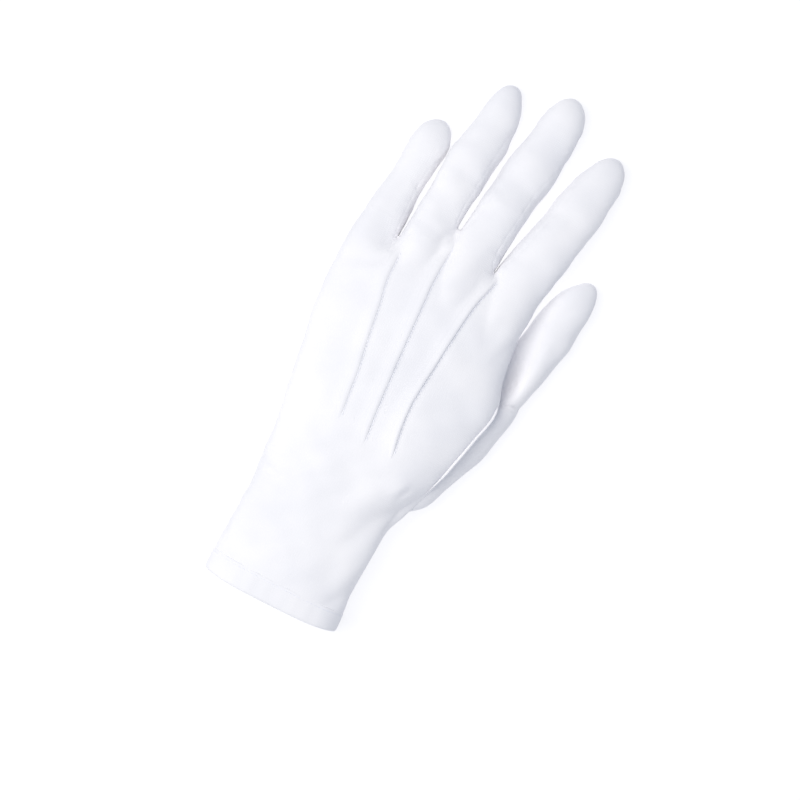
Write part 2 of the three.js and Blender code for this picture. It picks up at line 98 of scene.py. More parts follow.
FINGERS = {
    "little": (15, table(FINGER, [
        (128, -47.6, -30, 7.5, 19.6, 29.5),
        (140, -49.8, -30.2, 6.2, 17.6, 27.6),
        (152, -49.8, -31.0, 5.4, 15.2, 24.8),
        (165, -49.1, -31.1, 4.2, 12.8, 21.2),
        (180, -48.3, -31.6, 2.4, 10.2, 17.8),
        (196, -47.2, -31.2, -0.6, 7.2, 14.6),
        (211, -47, -30.4, -0.8, 5.8, 13.2),
    ])),
    "ring": (17, table(FINGER, [
        (132, -28, -10, 7.8, 19.7, 31.6),
        (150, -29.8, -10.2, 6.6, 18.2, 29.8),
        (165, -30.2, -10.9, 6.6, 16.8, 26.8),
        (180, -30.3, -10.8, 6, 15, 23.6),
        (195, -29.9, -10.2, 4.6, 12.8, 20.8),
        (210, -29.2, -9.9, 1.8, 9.8, 17.6),
        (222, -27.9, -10.1, -0.6, 7.4, 15.2),
        (239, -28.7, -11.3, -0.8, 6, 13.8),
    ])),
    "middle": (17, table(FINGER, [
        (132, -8.5, 11, 7.8, 20, 32.8),
        (150, -10, 11.8, 6.8, 18.8, 31),
        (165, -10.2, 11.2, 7, 17.4, 28),
        (180, -9.4, 11.6, 6.6, 15.8, 24.8),
        (195, -8.1, 12.8, 5.4, 13.8, 22),
        (210, -6.6, 14.0, 3, 11.2, 19.2),
        (222, -5.3, 14.9, 0.6, 8.6, 16.6),
        (230, -4.5, 15.2, -0.6, 7.4, 15.2),
        (246.8, -4.2, 14.8, -0.8, 6, 13.8),
    ])),
    "index": (16, table(FINGER, [
        (130, 11, 34.6, 7.8, 19.5, 31.4),
        (150, 11.0, 34.4, 6.6, 18, 29.2),
        (165, 11.9, 35.2, 6.4, 16.6, 26.4),
        (180, 14.2, 37.2, 5.8, 14.8, 23.6),
        (195, 17.0, 39.0, 4, 12.4, 20.6),
        (207, 19.2, 40.1, 1.8, 9.8, 17.8),
        (218, 21.3, 40.7, -0.6, 7.6, 15.6),
        (234, 24.3, 42.5, -0.8, 6.2, 14),
    ])),
}


FINGER_SQUARE = 2.25  # how square a section is, where 2 is an oval
PALM_SQUARE = 2.6


def rounded(c, square):
    """A cosine or sine, bent to draw a section with fuller corners than an oval's."""
    return np.sign(c) * np.abs(c) ** (2 / square)


def loft(rows, nose=0, square=FINGER_SQUARE, sides=64, step=2.0, start=None, grow=0.0):
    """Rings of points through the sections of a table, with a round nose, and one point at each end."""
    tip = rows["y"][-1]
    first = rows["y"][0] if start is None else start
    ys = list(np.arange(first, tip - nose, step))
    ys += list(tip - nose + (nose + grow) * np.sin(np.radians(np.arange(0, 88, 6)))) if nose else [tip]
    turn = 2 * np.pi * (np.arange(sides) + 0.5) / sides
    points, centres = [], []
    for y in ys:
        s = {name: float(read(rows, name, y)) for name in rows if name != "y"}
        into = min(max((y - tip + nose) / (nose + grow), 0), 1) if nose else 0
        keep = math.sqrt(1 - into * into)
        width = (s["right"] - s["left"]) / 2
        across = (width + grow) * keep * rounded(np.cos(turn), square)
        rise = rounded(np.sin(turn), square)
        tall = np.where(rise > 0, s["top"] - s["side"] + grow, s["side"] - s["bottom"] + grow) * keep
        middle = (s["left"] + s["right"]) / 2
        plan = y + s.get("slant", 0) * across - s.get("bow", 0) * (1 - (across / width) ** 4)
        points.append(np.stack([middle + across, plan, s["side"] + tall * rise], 1))
        centres.append([middle, y, s["side"]])
    rings = len(ys)
    grid = np.arange(rings * sides).reshape(rings, sides)
    right = np.roll(grid, -1, 1)
    faces = np.stack([grid[:-1], right[:-1], right[1:], grid[1:]], -1).reshape(-1, 4).tolist()
    low, high = rings * sides, rings * sides + 1
    faces += [(low, right[0, i], grid[0, i]) for i in range(sides)]
    faces += [(high, grid[-1, i], right[-1, i]) for i in range(sides)]
    ends = [centres[0], [centres[-1][0], centres[-1][1] + (nose + grow) * 0.002, centres[-1][2]]]
    return np.concatenate(points + [np.array(ends)]), faces


def mesh_object(name, points, faces):
    """A new object from points in millimetres from the middle of the hem."""
    points = np.asarray(points, float).copy()
    points[:, :2] -= ORIGIN
    mesh = bpy.data.meshes.new(name)
    mesh.from_pydata((points * MM).tolist(), [], [tuple(int(i) for i in f) for f in faces])
    mesh.validate()
    made = bpy.data.objects.new(name, mesh)
    bpy.context.collection.objects.link(made)
    return made


def select_only(piece):
    bpy.ops.object.select_all(action="DESELECT")
    piece.select_set(True)
    bpy.context.view_layer.objects.active = piece


def apply_modifier(piece, kind, **settings):
    modifier = piece.modifiers.new(kind.lower(), kind)
    for key, value in settings.items():
        setattr(modifier, key, value)
    select_only(piece)
    bpy.ops.object.modifier_apply(modifier=modifier.name)


def face_outwards(piece):
    """Turns every face of a piece outwards."""
    select_only(piece)
    bpy.ops.object.mode_set(mode="EDIT")
    bpy.ops.mesh.select_all(action="SELECT")
    bpy.ops.mesh.normals_make_consistent(inside=False)
    bpy.ops.object.mode_set(mode="OBJECT")


def points_of(piece):
    """The vertices of a piece, in millimetres from the middle of the hem."""
    flat = np.empty(len(piece.data.vertices) * 3)
    piece.data.vertices.foreach_get("co", flat)
    points = flat.reshape(-1, 3) / MM
    points[:, :2] += ORIGIN
    return points


def set_points(piece, points):
    moved = points.copy()
    moved[:, :2] -= ORIGIN
    piece.data.vertices.foreach_set("co", (moved * MM).ravel())
    piece.data.update()


# The skin before it is cut apart: the lofts of the hand and the fingers grown together. They are made
# a little too thin for it, so that the narrow gaps between the fingers stay open.
THIN = 0.45
SKIN_GRAIN = 0.8
parts = [loft(PALM, square=PALM_SQUARE, sides=128, start=-8, grow=-THIN)]
parts += [loft(rows, nose, grow=-THIN) for nose, rows in FINGERS.values()]
skin_points, skin_faces = [], []
for part_points, part_faces in parts:
    base = sum(len(p) for p in skin_points)
    skin_points.append(part_points)
    skin_faces += [[i + base for i in f] for f in part_faces]
skin = mesh_object("skin", np.concatenate(skin_points), skin_faces)
apply_modifier(skin, "REMESH", mode="VOXEL", voxel_size=SKIN_GRAIN * MM, adaptivity=0)
apply_modifier(skin, "SMOOTH", factor=0.5, iterations=14)
apply_modifier(skin, "TRIANGULATE")

points = points_of(skin)
flat = np.empty(len(skin.data.polygons) * 3, int)
skin.data.polygons.foreach_get("vertices", flat)
triangles = flat.reshape(-1, 3)
flat = np.empty(len(skin.data.edges) * 2, int)
skin.data.edges.foreach_get("vertices", flat)
edges = flat.reshape(-1, 2)


def normals_of(points):
    corner = points[triangles]
    face = np.cross(corner[:, 1] - corner[:, 0], corner[:, 2] - corner[:, 0])
    normal = np.zeros_like(points)
    for i in range(3):
        np.add.at(normal, triangles[:, i], face)
    return normal / np.maximum(np.linalg.norm(normal, axis=1), 1e-9)[:, None]


points = points + THIN * normals_of(points)


def neighbours_mean(points):
    total, count = np.zeros_like(points), np.zeros(len(points))
    for a, b in (edges.T, edges.T[::-1]):
        np.add.at(total, a, points[b])
        np.add.at(count, a, 1)
    return total / count[:, None]


# The cloth spans the knuckle of the little finger and the webs between the fingers.
SPAN_PASSES = 40
SPANS = table("x y reach", [(-38, 146, 10), (-30, 156, 7), (-11, 168, 3), (11, 163, 4)])
span = np.zeros(len(points))
for i in range(len(SPANS["x"])):
    away = np.hypot(points[:, 0] - SPANS["x"][i], points[:, 1] - SPANS["y"][i])
    span = np.maximum(span, np.exp(-((away / SPANS["reach"][i]) ** 2)))
for _ in range(SPAN_PASSES):
    points = points + 0.6 * span[:, None] * (neighbours_mean(points) - points)


def centre_and_half(rows, y):
    left, right = read(rows, "left", y), read(rows, "right", y)
    return (left + right) / 2, (right - left) / 2


def smooth_step(t):
    t = np.clip(t, 0, 1)
    return t * t * (3 - 2 * t)


# Beside the webs the fingers all but touch, so the cloth in a gap is drawn towards its middle.
GAP_REACH = 3.2
NEIGHBOURS = table(
    "from to squeeze one two",
    [(152, 205, 0.3, 0, 1), (168, 200, 0.6, 1, 2), (162, 190, 0.6, 2, 3)],
)
rows_of = [rows for _, rows in FINGERS.values()]
for i in range(3):
    start, end = NEIGHBOURS["from"][i], NEIGHBOURS["to"][i]
    one, two = rows_of[int(NEIGHBOURS["one"][i])], rows_of[int(NEIGHBOURS["two"][i])]
    middle = (read(one, "right", points[:, 1]) + read(two, "left", points[:, 1])) / 2
    off = points[:, 0] - middle
    along = smooth_step((points[:, 1] - start) / 8) * smooth_step((end - points[:, 1]) / 22)
    points[:, 0] -= NEIGHBOURS["squeeze"][i] * along * off * np.exp(-((off / GAP_REACH) ** 2))


def seam_level(points):
    """Height of the seam between the back and the palm, which changes from finger to finger."""
    x, y = points[:, 0], points[:, 1]
    in_palm = read(PALM, "side", y)
    levels, middles, halves = [], [], []
    for nose, rows in FINGERS.values():
        begin = smooth_step((y - rows["y"][0]) / 8)
        levels.append(in_palm * (1 - begin) + read(rows, "side", y) * begin)
        middle, half = centre_and_half(rows, y)
        middles.append(middle)
        halves.append(half)
    level = levels[0]
    for i in range(3):
        low, high = middles[i] + 0.8 * halves[i], middles[i + 1] - 0.8 * halves[i + 1]
        passed = smooth_step((x - low) / (high - low))
        level = np.where(x > low, levels[i] + (levels[i + 1] - levels[i]) * passed, level)
    return level


# Where the seams of the fourchettes run on the back, in plan, from the crotch to near the fingertip.
SEAMS = {
    "little_ring": (
        table("y x", [(151, -31), (156, -32), (164, -33.2), (176, -33.9), (188, -34.1), (204, -33.4)]),
        table("y x", [(151, -31), (155, -29.2), (162, -27.6), (174, -26.6), (188, -26), (204, -26)]),
    ),
    "ring_middle": (
        table("y x", [(173, -11), (176, -12.1), (184, -12.9), (200, -12.6), (214, -12.4), (228, -12.4)]),
        table("y x", [(173, -11), (176, -8.8), (184, -6.6), (200, -4.6), (214, -2.8), (228, -1.4)]),
    ),
    "middle_index": (
        table("y x", [(166.5, 10.7), (170, 9.4), (180, 8.8), (196, 9.9), (210, 11.2), (224, 12)]),
        table("y x", [(166.5, 10.7), (169, 12.8), (178, 16.4), (196, 20.4), (210, 23), (224, 26)]),
    ),
}
PAIRS = {
    "little_ring": ("little", "ring"),
    "ring_middle": ("ring", "middle"),
    "middle_index": ("middle", "index"),
}
PALM_HALF = 4.6  # how far below the seam's level a fourchette meets the palm panel
SEAMS_CLOSE = 18  # over this length at a fourchette's end its two seams run together


def fourchette_field(points, level):
    """Below zero inside one of the fourchettes, and which one is nearest."""
    x, y, z = points.T
    fields = []
    for name, (one, two) in PAIRS.items():
        first, second = SEAMS[name]
        end = first["y"][-1]
        close = smooth_step((y - end + SEAMS_CLOSE) / (SEAMS_CLOSE - 1))
        centre_one, half_one = centre_and_half(FINGERS[one][1], y)
        centre_two, half_two = centre_and_half(FINGERS[two][1], y)
        line_one = read(first, "x", y) * (1 - close) + (centre_one + half_one) * close
        line_two = read(second, "x", y) * (1 - close) + (centre_two - half_two) * close
        between = np.maximum(centre_one - x, x - centre_two)
        upper = np.maximum(line_one - x, x - line_two)
        lower = level - PALM_HALF * (1 - close) - z
        field = np.where(z > level, upper, lower)
        field = np.maximum(field, between)
        fields.append(np.maximum(field, np.maximum(first["y"][0] - 1 - y, y - end)))
    fields = np.array(fields)
    return fields.min(0), fields.argmin(0)


def snap(points, field, edges, free):
    """Moves the nearer end of each edge that crosses a field's zero onto it."""
    a, b = edges[free[edges].all(1)].T
    cross = field[a] * field[b] < 0
    a, b = a[cross], b[cross]
    t = field[a] / (field[a] - field[b])
    near, far, t = np.where(t < 0.5, a, b), np.where(t < 0.5, b, a), np.minimum(t, 1 - t)
    order = np.argsort(-t)
    near, far, t = near[order], far[order], t[order]
    moved = points.copy()
    moved[near] = points[near] + (points[far] - points[near]) * t[:, None]
    field = field.copy()
    field[near] = 0
    return moved, field


VENT = dict(x=-9.8, y=41.0, half_x=7.2, half_y=10.5)
VENT_CUT = 1.2  # how far outside the vent the cloth is cut
VENT_LEVEL = 15  # it is cut only below this level
HEM_TOP = 8.8
HEM_LAP = 1.5  # the cuff's cloth ends this far inside the hem


def cuff_plan(points, y):
    """How far a point lies beyond a section of the cuff that is taken at y."""
    middle, half = centre_and_half(PALM, y)
    across = points[:, 0] - middle
    bow = float(read(PALM, "bow", y)) * (1 - (across / half) ** 4)
    return points[:, 1] - (y + float(read(PALM, "slant", y)) * across - bow)


everywhere = np.ones(len(points), bool)
points, cuff_field = snap(points, cuff_plan(points, HEM_TOP - HEM_LAP), edges, everywhere)
vent_across = (points[:, 0] - VENT["x"]) / (VENT["half_x"] + VENT_CUT)
vent_along = (points[:, 1] - VENT["y"]) / (VENT["half_y"] + VENT_CUT)
vent_field = np.hypot(vent_across, vent_along) - 1
vent_field = np.where(points[:, 2] < VENT_LEVEL, vent_field, 1.0)
points, vent_field = snap(points, vent_field, edges, everywhere)
level = seam_level(points)
between_field, which = fourchette_field(points, level)
points, between_field = snap(points, between_field, edges, everywhere)
panel_field = points[:, 2] - seam_level(points)
smooth_facing = normals_of(points)
points, panel_field = snap(points, panel_field, edges, between_field >= 0)
# Slivers that the cuts leave are drawn back to their neighbours.
for _ in range(6):
    corner = points[triangles]
    facing = np.cross(corner[:, 1] - corner[:, 0], corner[:, 2] - corner[:, 0])
    wanted = smooth_facing[triangles].mean(1)
    bad = np.unique(triangles[(facing * wanted).sum(1) < 0.02])
    points[bad] = 0.5 * points[bad] + 0.5 * neighbours_mean(points)[bad]


def side_of(field):
    """The sign of a field on each triangle, from the corner that is farthest from its zero."""
    corners = field[triangles]
    return np.sign(corners[np.arange(len(corners)), np.abs(corners).argmax(1)])


BACK, UNDER, GONE = 3, 4, 5
label = np.where(side_of(panel_field) > 0, BACK, UNDER)
label = np.where(side_of(between_field) < 0, which[triangles].min(1), label)
label = np.where((side_of(cuff_field) < 0) | (side_of(vent_field) < 0), GONE, label)

# Seam vertices are those that two pieces share.
lowest = np.full(len(points), 9)
highest = np.full(len(points), -1)
for corner in range(3):
    np.minimum.at(lowest, triangles[:, corner], label)
    np.maximum.at(highest, triangles[:, corner], label)
on_seam = (lowest != highest) & (highest != GONE)


def distance_to(points, targets, reach):
    """Distance to the nearest of a cloud of points, capped, and that point."""
    tree = KDTree(len(targets))
    for i, p in enumerate(targets):
        tree.insert(p, i)
    tree.balance()
    found = np.full(len(points), reach, float)
    nearest = points.copy()
    low, high = targets.min(0) - reach, targets.max(0) + reach
    for i in np.nonzero(((points > low) & (points < high)).all(1))[0]:
        co, _, d = tree.find(points[i])
        if d < reach:
            found[i] = d
            nearest[i] = co
    return found, nearest


seam_away, seam_near = distance_to(points, points[on_seam], reach=9.0)


def waves(points, seed, count, shortest, longest):
    """Smooth random relief about one high: plane waves of seeded lengths and directions."""
    rng = np.random.default_rng(seed)
    total = np.zeros(len(points))
    for _ in range(count):
        direction = rng.normal(size=3)
        direction /= np.linalg.norm(direction)
        length = rng.uniform(shortest, longest)
        total += np.sin(2 * np.pi * points @ direction / length + rng.uniform(0, 6.283))
    return total / math.sqrt(count / 2)


# Folds and hollows of the cloth, each a soft trough with a low ridge on both sides: its middle, the
# direction that it runs in degrees from +X, half its length and width, its depth, which is below zero
# for a ridge, and the side it is on, 1 for the back and -1 for the palm.
FOLDS = table("x y turn long wide depth face", [
    (27.6, 57, 78, 14, 6.4, 3.4, 1),
    (25.6, 66.5, 95, 4, 2.0, 0.7, 1),
    (-31, 47.5, 15, 7, 3.6, 1.5, 1),
    (-38.5, 144, 44, 10, 3.4, 0.9, 1),
    (-23.5, 206, 52, 8, 3.0, -0.5, 1),
    (-19.5, 196, 40, 8, 4.6, 0.7, 1),
    (-37.5, 178, 103, 12, 2.6, -0.35, 1),
    (0, 192, 20, 6, 2.4, -0.3, 1),
    (4, 203, 10, 12, 6.0, 1.1, 1),
    (-14.2, 167, 80, 5, 2.0, 0.4, 1),
    (-20, 169, 15, 6, 2.4, 0.3, 1),
    (5, 160, 100, 8, 4.0, 0.7, 1),
    (25.5, 146, 110, 10, 4.2, 0.7, 1),
    (30, 200, 20, 8, 5.0, 0.5, 1),
    (24, 16, 80, 9, 3.0, 0.8, 1),
    (16, 40, 85, 14, 4.5, 0.6, 1),
    (-2, 66, 5, 12, 3.0, 0.4, 1),
    (-20, 60, 170, 12, 3.0, 0.3, 1),
    (-25, 25, 168, 13, 2.4, 2.2, -1),
    (-22.5, 44, 62, 8, 1.8, 1.0, -1),
    (-19, 49, 52, 8, 1.6, -0.6, -1),
    (4, 66, 20, 14, 3.0, 0.7, -1),
])


def fold_depth(points, folds, level):
    x, y, z = points.T
    depth = np.zeros(len(points))
    for i in range(len(folds["x"])):
        turn = math.radians(folds["turn"][i])
        along = (x - folds["x"][i]) * math.cos(turn) + (y - folds["y"][i]) * math.sin(turn)
        across = (y - folds["y"][i]) * math.cos(turn) - (x - folds["x"][i]) * math.sin(turn)
        wide = folds["wide"][i]
        bend = along / folds["long"][i]
        across = across + 0.6 * wide * np.sin(1.4 * bend)
        banks = np.exp(-(((np.abs(across) - 1.9 * wide) / wide) ** 2))
        trough = np.exp(-((across / wide) ** 2)) - 0.18 * banks
        side = smooth_step(folds["face"][i] * (z - level) / 4 + 0.3)
        depth += folds["depth"][i] * trough * np.exp(-(bend**2)) * side
    return depth


# The points are pleats of the back. Beside each the cloth swells on the little finger's side and
# drops on the thumb's side.
POINTS = {
    "outer": table("y x", [
        (80, -14.6), (95, -17), (103, -18.3), (110, -20), (122, -22.5), (130, -24), (140, -26.5),
        (154, -27.6),
    ]),
    "middle": table("y x", [
        (76, -0.5), (85, -2), (100, -4), (118, -6), (130, -7.3), (140, -8.3), (150, -9.3), (168, -9.4),
    ]),
    "inner": table("y x", [
        (77, 12.8), (87, 10.3), (100, 8.6), (110, 8.7), (120, 9.2), (130, 9.5), (150, 11), (163, 14),
    ]),
}


def point_relief(points, level):
    x, y, z = points.T
    relief = np.zeros(len(points))
    for rows in POINTS.values():
        start, end = rows["y"][0], rows["y"][-1]
        fade = smooth_step((y - start + 3) / 12) * smooth_step((end + 3 - y) / 8)
        u = x - read(rows, "x", y)
        swell = 0.7 * np.exp(-(((u + 1.6) / 2.5) ** 2)) - 0.15 * np.exp(-(((u - 1.8) / 1.2) ** 2))
        relief += fade * swell * (z > level)
    return relief


level = seam_level(points)
normal = normals_of(points)


def slack(points):
    """The cloth's own unevenness, as height above the form of the hand."""
    calm = 0.5 + 0.5 * smooth_step((points[:, 1] - 4) / 16)
    broad = waves(points, seed=3, count=18, shortest=26.0, longest=60.0)
    small = waves(points, seed=5, count=26, shortest=9.0, longest=16.0)
    return calm * (0.30 * broad + 0.11 * small)


def settle(points):
    """Cloth that would pass the table lies flat on it."""
    low = points[:, 2] < 0.5
    points[low, 2] = 0.5 * np.exp((points[low, 2] - 0.5) / 0.9)
    return points


among_fingers = smooth_step((points[:, 1] - 148) / 14)
pucker = np.exp(-seam_away / 2.4) * waves(seam_near, 11, 16, 4.5, 8.0) * (0.35 + 0.65 * among_fingers)
groove = np.clip(1 - seam_away / 1.0, 0, 1)
shape = (
    slack(points)
    + 0.10 * pucker
    - (0.2 - 0.1 * among_fingers) * groove
    + point_relief(points, level)
    - fold_depth(points, FOLDS, level)
)
points = settle(points + normal * shape[:, None])
set_points(skin, points)


def lay_cloth(piece, across, along):
    """The cloth's own coordinates in metres, from one value for each vertex: across and along the knit."""
    corners = np.empty(len(piece.data.loops), int)
    piece.data.loops.foreach_get("vertex_index", corners)
    pair = np.stack([across, along], 1)[corners] * MM
    piece.data.uv_layers.new(name="cloth").data.foreach_set("uv", pair.ravel())


def wrap(x, z, edge, crown):
    """Distance across a piece of cloth that runs level and then down or up at both edges."""
    return x + np.tanh((x - crown) / 4) * np.abs(edge - z)


def cut_piece(name, chosen):
    """One piece of the skin as an object of its own, with the cloth's thickness on its inner side."""
    faces = triangles[chosen]
    used, faces = np.unique(faces, return_inverse=True)
    own = points[used]
    piece = mesh_object(name, own, faces.reshape(-1, 3))
    x, y, z = own.T
    crown = np.zeros(len(own))
    crest = read(PALM, "top" if name.startswith("back") else "bottom", y)
    for _, rows in FINGERS.values():
        middle, half = centre_and_half(rows, y)
        here = (np.abs(x - middle) < half + 1) & (y > 165)
        crown = np.where(here, middle, crown)
        crest = np.where(here, read(rows, "top" if name.startswith("back") else "bottom", y), crest)
    across = z + 0.4 * x if name.startswith("fourchette") else wrap(x, z, crest, crown)
    lay_cloth(piece, across, y)
    apply_modifier(
        piece, "SOLIDIFY", thickness=CLOTH * MM, offset=-1, use_rim=True, use_quality_normals=True
    )
    bpy.ops.object.shade_smooth_by_angle(angle=math.radians(50))
    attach(piece, "root")
    return piece


def linear(code):
    """An sRGB hex colour as Blender wants it."""
    values = [int(code[i:i + 2], 16) / 255 for i in (1, 3, 5)]
    return [v / 12.92 if v <= 0.04045 else ((v + 0.055) / 1.055) ** 2.4 for v in values] + [1.0]


def add_node(material, kind, links=(), **settings):
    """A node with its settings and its links, each (input, node, output)."""
    node = material.node_tree.nodes.new(kind)
    for key, value in settings.items():
        if key.startswith("in_"):
            name = key[3:].replace("_", " ")
            node.inputs[int(name) if name.isdigit() else name].default_value = value
        else:
            setattr(node, key, value)
    for target, source, output in links:
        material.node_tree.links.new(source.outputs[output], node.inputs[target])
    return node


LOOP_WIDE = 1.0
LOOP_HIGH = 0.8


def cotton_jersey(name, colour, shade):
    """Fine knitted cotton, washed and pressed: small V-shaped loops, a soft fuzz that lights up at grazing
    angles, and no gloss. Real loops are about 0.6 mm wide, and are drawn at 1 mm so that they show."""
    material = bpy.data.materials.new(name)
    material.use_nodes = True
    surface = material.node_tree.nodes["Principled BSDF"]
    surface.inputs["Roughness"].default_value = 0.92
    surface.inputs["Sheen Weight"].default_value = 0.2
    surface.inputs["Sheen Roughness"].default_value = 0.5
    surface.inputs["Specular IOR Level"].default_value = 0.2
    cloth = add_node(material, "ShaderNodeUVMap", uv_map="cloth")
    axes = add_node(material, "ShaderNodeSeparateXYZ", [("Vector", cloth, "UV")])

    def maths(operation, links, **settings):
        return add_node(material, "ShaderNodeMath", links, operation=operation, **settings)

    across = maths("MULTIPLY", [(0, axes, "X")], in_1=1 / (LOOP_WIDE * MM))
    column = maths("PINGPONG", [(0, across, 0)], in_1=0.5)
    along = maths("MULTIPLY", [(0, axes, "Y")], in_1=1 / (LOOP_HIGH * MM))
    slope = maths("MULTIPLY_ADD", [(0, column, 0), (2, along, 0)], in_1=1.2)
    loop = maths("PINGPONG", [(0, slope, 0)], in_1=0.5)
    knit = maths("ADD", [(0, loop, 0), (1, column, 0)])
    place = add_node(material, "ShaderNodeTexCoord")
    at_place = [("Vector", place, "Object")]
    fuzz = add_node(material, "ShaderNodeTexNoise", at_place, in_Scale=1500.0, in_Detail=3.0)
    relief = maths("ADD", [(0, knit, 0), (1, fuzz, "Fac")])
    depth = 0.12 * MM
    bump = add_node(material, "ShaderNodeBump", [("Height", relief, 0)], in_Strength=0.35, in_Distance=depth)
    patch = add_node(material, "ShaderNodeTexNoise", at_place, in_Scale=40.0, in_Detail=3.0, in_Roughness=0.5)
    # The colour is a little darker where the loops sink, painted shade in the knit's hollows, and it also
    # varies in soft random patches; the shade colour is its darker end.
    blend = maths("MULTIPLY_ADD", [(0, loop, 0), (2, patch, "Fac")], in_1=0.4)
    tone = add_node(material, "ShaderNodeValToRGB", [("Fac", blend, 0)])
    tone.color_ramp.elements[0].position = 0.35
    tone.color_ramp.elements[0].color = linear(shade)
    tone.color_ramp.elements[1].position = 0.8
    tone.color_ramp.elements[1].color = linear(colour)
    material.node_tree.links.new(tone.outputs["Color"], surface.inputs["Base Color"])
    material.node_tree.links.new(bump.outputs["Normal"], surface.inputs["Normal"])
    return material


cotton = cotton_jersey("fine white cotton jersey", "#F9F8FA", "#F0F0F4")
back = cut_piece("back_panel_cloth", label == BACK)
back.data.materials.append(cotton)
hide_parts("back_panel")
palm = cut_piece("palm_panel_cloth", label == UNDER)
palm.data.materials.append(cotton)
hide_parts("palm_panel")
for i, name in enumerate(PAIRS):
    fourchette = cut_piece("fourchette_" + name + "_cloth", label == i)
    fourchette.data.materials.append(cotton)
    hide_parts("fourchette_" + name)

# Thumb with its gusset.
# It is a tube of the same jersey, sewn into the palm panel along the ball of the thumb.

THUMB = table(FINGER, [
    (56, 8, 24.5, 3.5, 12, 19),
    (66, 9, 35.4, -0.6, 11, 20),
    (78, 11, 40.0, -1.6, 10, 19.6),
    (90, 14, 44.0, -1.6, 9.5, 19.2),
    (103, 20, 48.0, -1.4, 9, 18.8),
    (115, 26.5, 50.0, -1, 8.8, 18.4),
    (124, 30.8, 49.8, -0.8, 8.6, 18),
    (136, 33.8, 52.6, -0.8, 8.4, 17.4),
    (150, 35.3, 55.0, -0.8, 8, 16.8),
    (164.5, 37.4, 55.6, -0.8, 7.4, 15.8),
    (182.5, 41.4, 58.6, -0.8, 6, 14),
])
HIDDEN_DEPTH = 1.6  # how far the thumb's cloth runs on inside the hand
CROTCH_DEPTH = 8.0
thumb = mesh_object("thumb_cloth", *loft(THUMB, nose=18, sides=110, step=1.0))
apply_modifier(thumb, "TRIANGULATE")
thumb_points = points_of(thumb)
skin_tree = BVHTree.FromPolygons(points.tolist(), triangles.tolist())
x, y, z = thumb_points.T
# The seam that sets the thumb in crosses its root, and the crotch pulls the cloth in.
root_line = 118.5 + 0.35 * (x - 41)
root_crease = np.clip(1 - np.abs(y - root_line) / 1.4, 0, 1)
root_crease = root_crease * smooth_step((x - 36) / 4) * smooth_step((51 - x) / 4)
root_swell = np.exp(-(((y - root_line - 4) / 3.0) ** 2)) * smooth_step((x - 38) / 4)
outward = thumb_points - np.stack([*(centre_and_half(THUMB, y)[:1]), y, read(THUMB, "side", y)], 1)
outward[:, 1] = 0
outward /= np.maximum(np.linalg.norm(outward, axis=1), 1e-6)[:, None]
THUMB_FOLDS = table("x y turn long wide depth face", [
    (43, 152, 45, 6, 2.4, 0.4, 1),
    (47, 168, 60, 5, 2.2, 0.35, 1),
    (50, 135, 60, 7, 3.2, 0.5, 1),
    (45, 100, 75, 12, 3.0, 0.5, 1),
])
thumb_shape = (
    0.30 * waves(thumb_points, seed=21, count=18, shortest=20.0, longest=45.0)
    + 0.12 * waves(thumb_points, seed=22, count=24, shortest=8.0, longest=14.0)
    - 1.3 * root_crease
    + 0.3 * root_swell
    - fold_depth(thumb_points, THUMB_FOLDS, read(THUMB, "side", y))
)
thumb_points = thumb_points + outward * thumb_shape[:, None]
# Beside the edge of the hand the crotch draws the cloth far down.
hollow = np.exp(-(((x - 38.6 - 0.03 * (y - 130)) / 5.4) ** 2) - ((y - 130) / 17) ** 2)
thumb_points[:, 2] -= CROTCH_DEPTH * hollow * smooth_step((z - read(THUMB, "side", y)) / 5)
thumb_points = settle(thumb_points)
set_points(thumb, thumb_points)
middle, half = centre_and_half(THUMB, y)
lay_cloth(thumb, half * np.arctan2(thumb_points[:, 2] - read(THUMB, "side", y), x - middle), y)
select_only(thumb)
bpy.ops.object.mode_set(mode="EDIT")
shell = bmesh.from_edit_mesh(thumb.data)
hidden = []
for vertex in shell.verts:
    p = Vector((vertex.co.x / MM + ORIGIN[0], vertex.co.y / MM + ORIGIN[1], vertex.co.z / MM))
    hit, away, _, _ = skin_tree.find_nearest(p)
    hidden.append((p - hit).dot(away) < -HIDDEN_DEPTH)
hidden_faces = [f for f in shell.faces if all(hidden[v.index] for v in f.verts)]
bmesh.ops.delete(shell, geom=hidden_faces, context="FACES")
loose = [v for v in shell.verts if not v.link_faces]
bmesh.ops.delete(shell, geom=loose, context="VERTS")
bmesh.update_edit_mesh(thumb.data)
bpy.ops.object.mode_set(mode="OBJECT")
face_outwards(thumb)
apply_modifier(thumb, "SOLIDIFY", thickness=CLOTH * MM, offset=-1, use_rim=True)
thumb.data.shade_smooth()
thumb.data.materials.append(cotton)
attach(thumb, "root")
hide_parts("thumb")

bpy.data.objects.remove(skin)

# Raised points.
# Three gathered tucks on the back. Each is a narrow fold of the same jersey that rises gently on the
# little finger's side, drops steeply on the thumb's side, and is held by small stitches along its foot.

POINT_HEIGHT = {"outer": 0.3, "middle": 0.42, "inner": 0.72}
STITCH = dict(pitch=2.0, length=1.75, thick=0.2)
RING_STEP = 0.8  # from one section of a tuck to the next
PROFILE = table("across lift", [
    (-2.9, -0.45), (-2.9, -0.05), (-2.1, 0.14), (-1.4, 0.44), (-0.8, 0.8), (-0.3, 1.0),
    (0.15, 0.96), (0.5, 0.7), (0.8, 0.34), (1.0, -0.05), (1.05, -0.45),
])


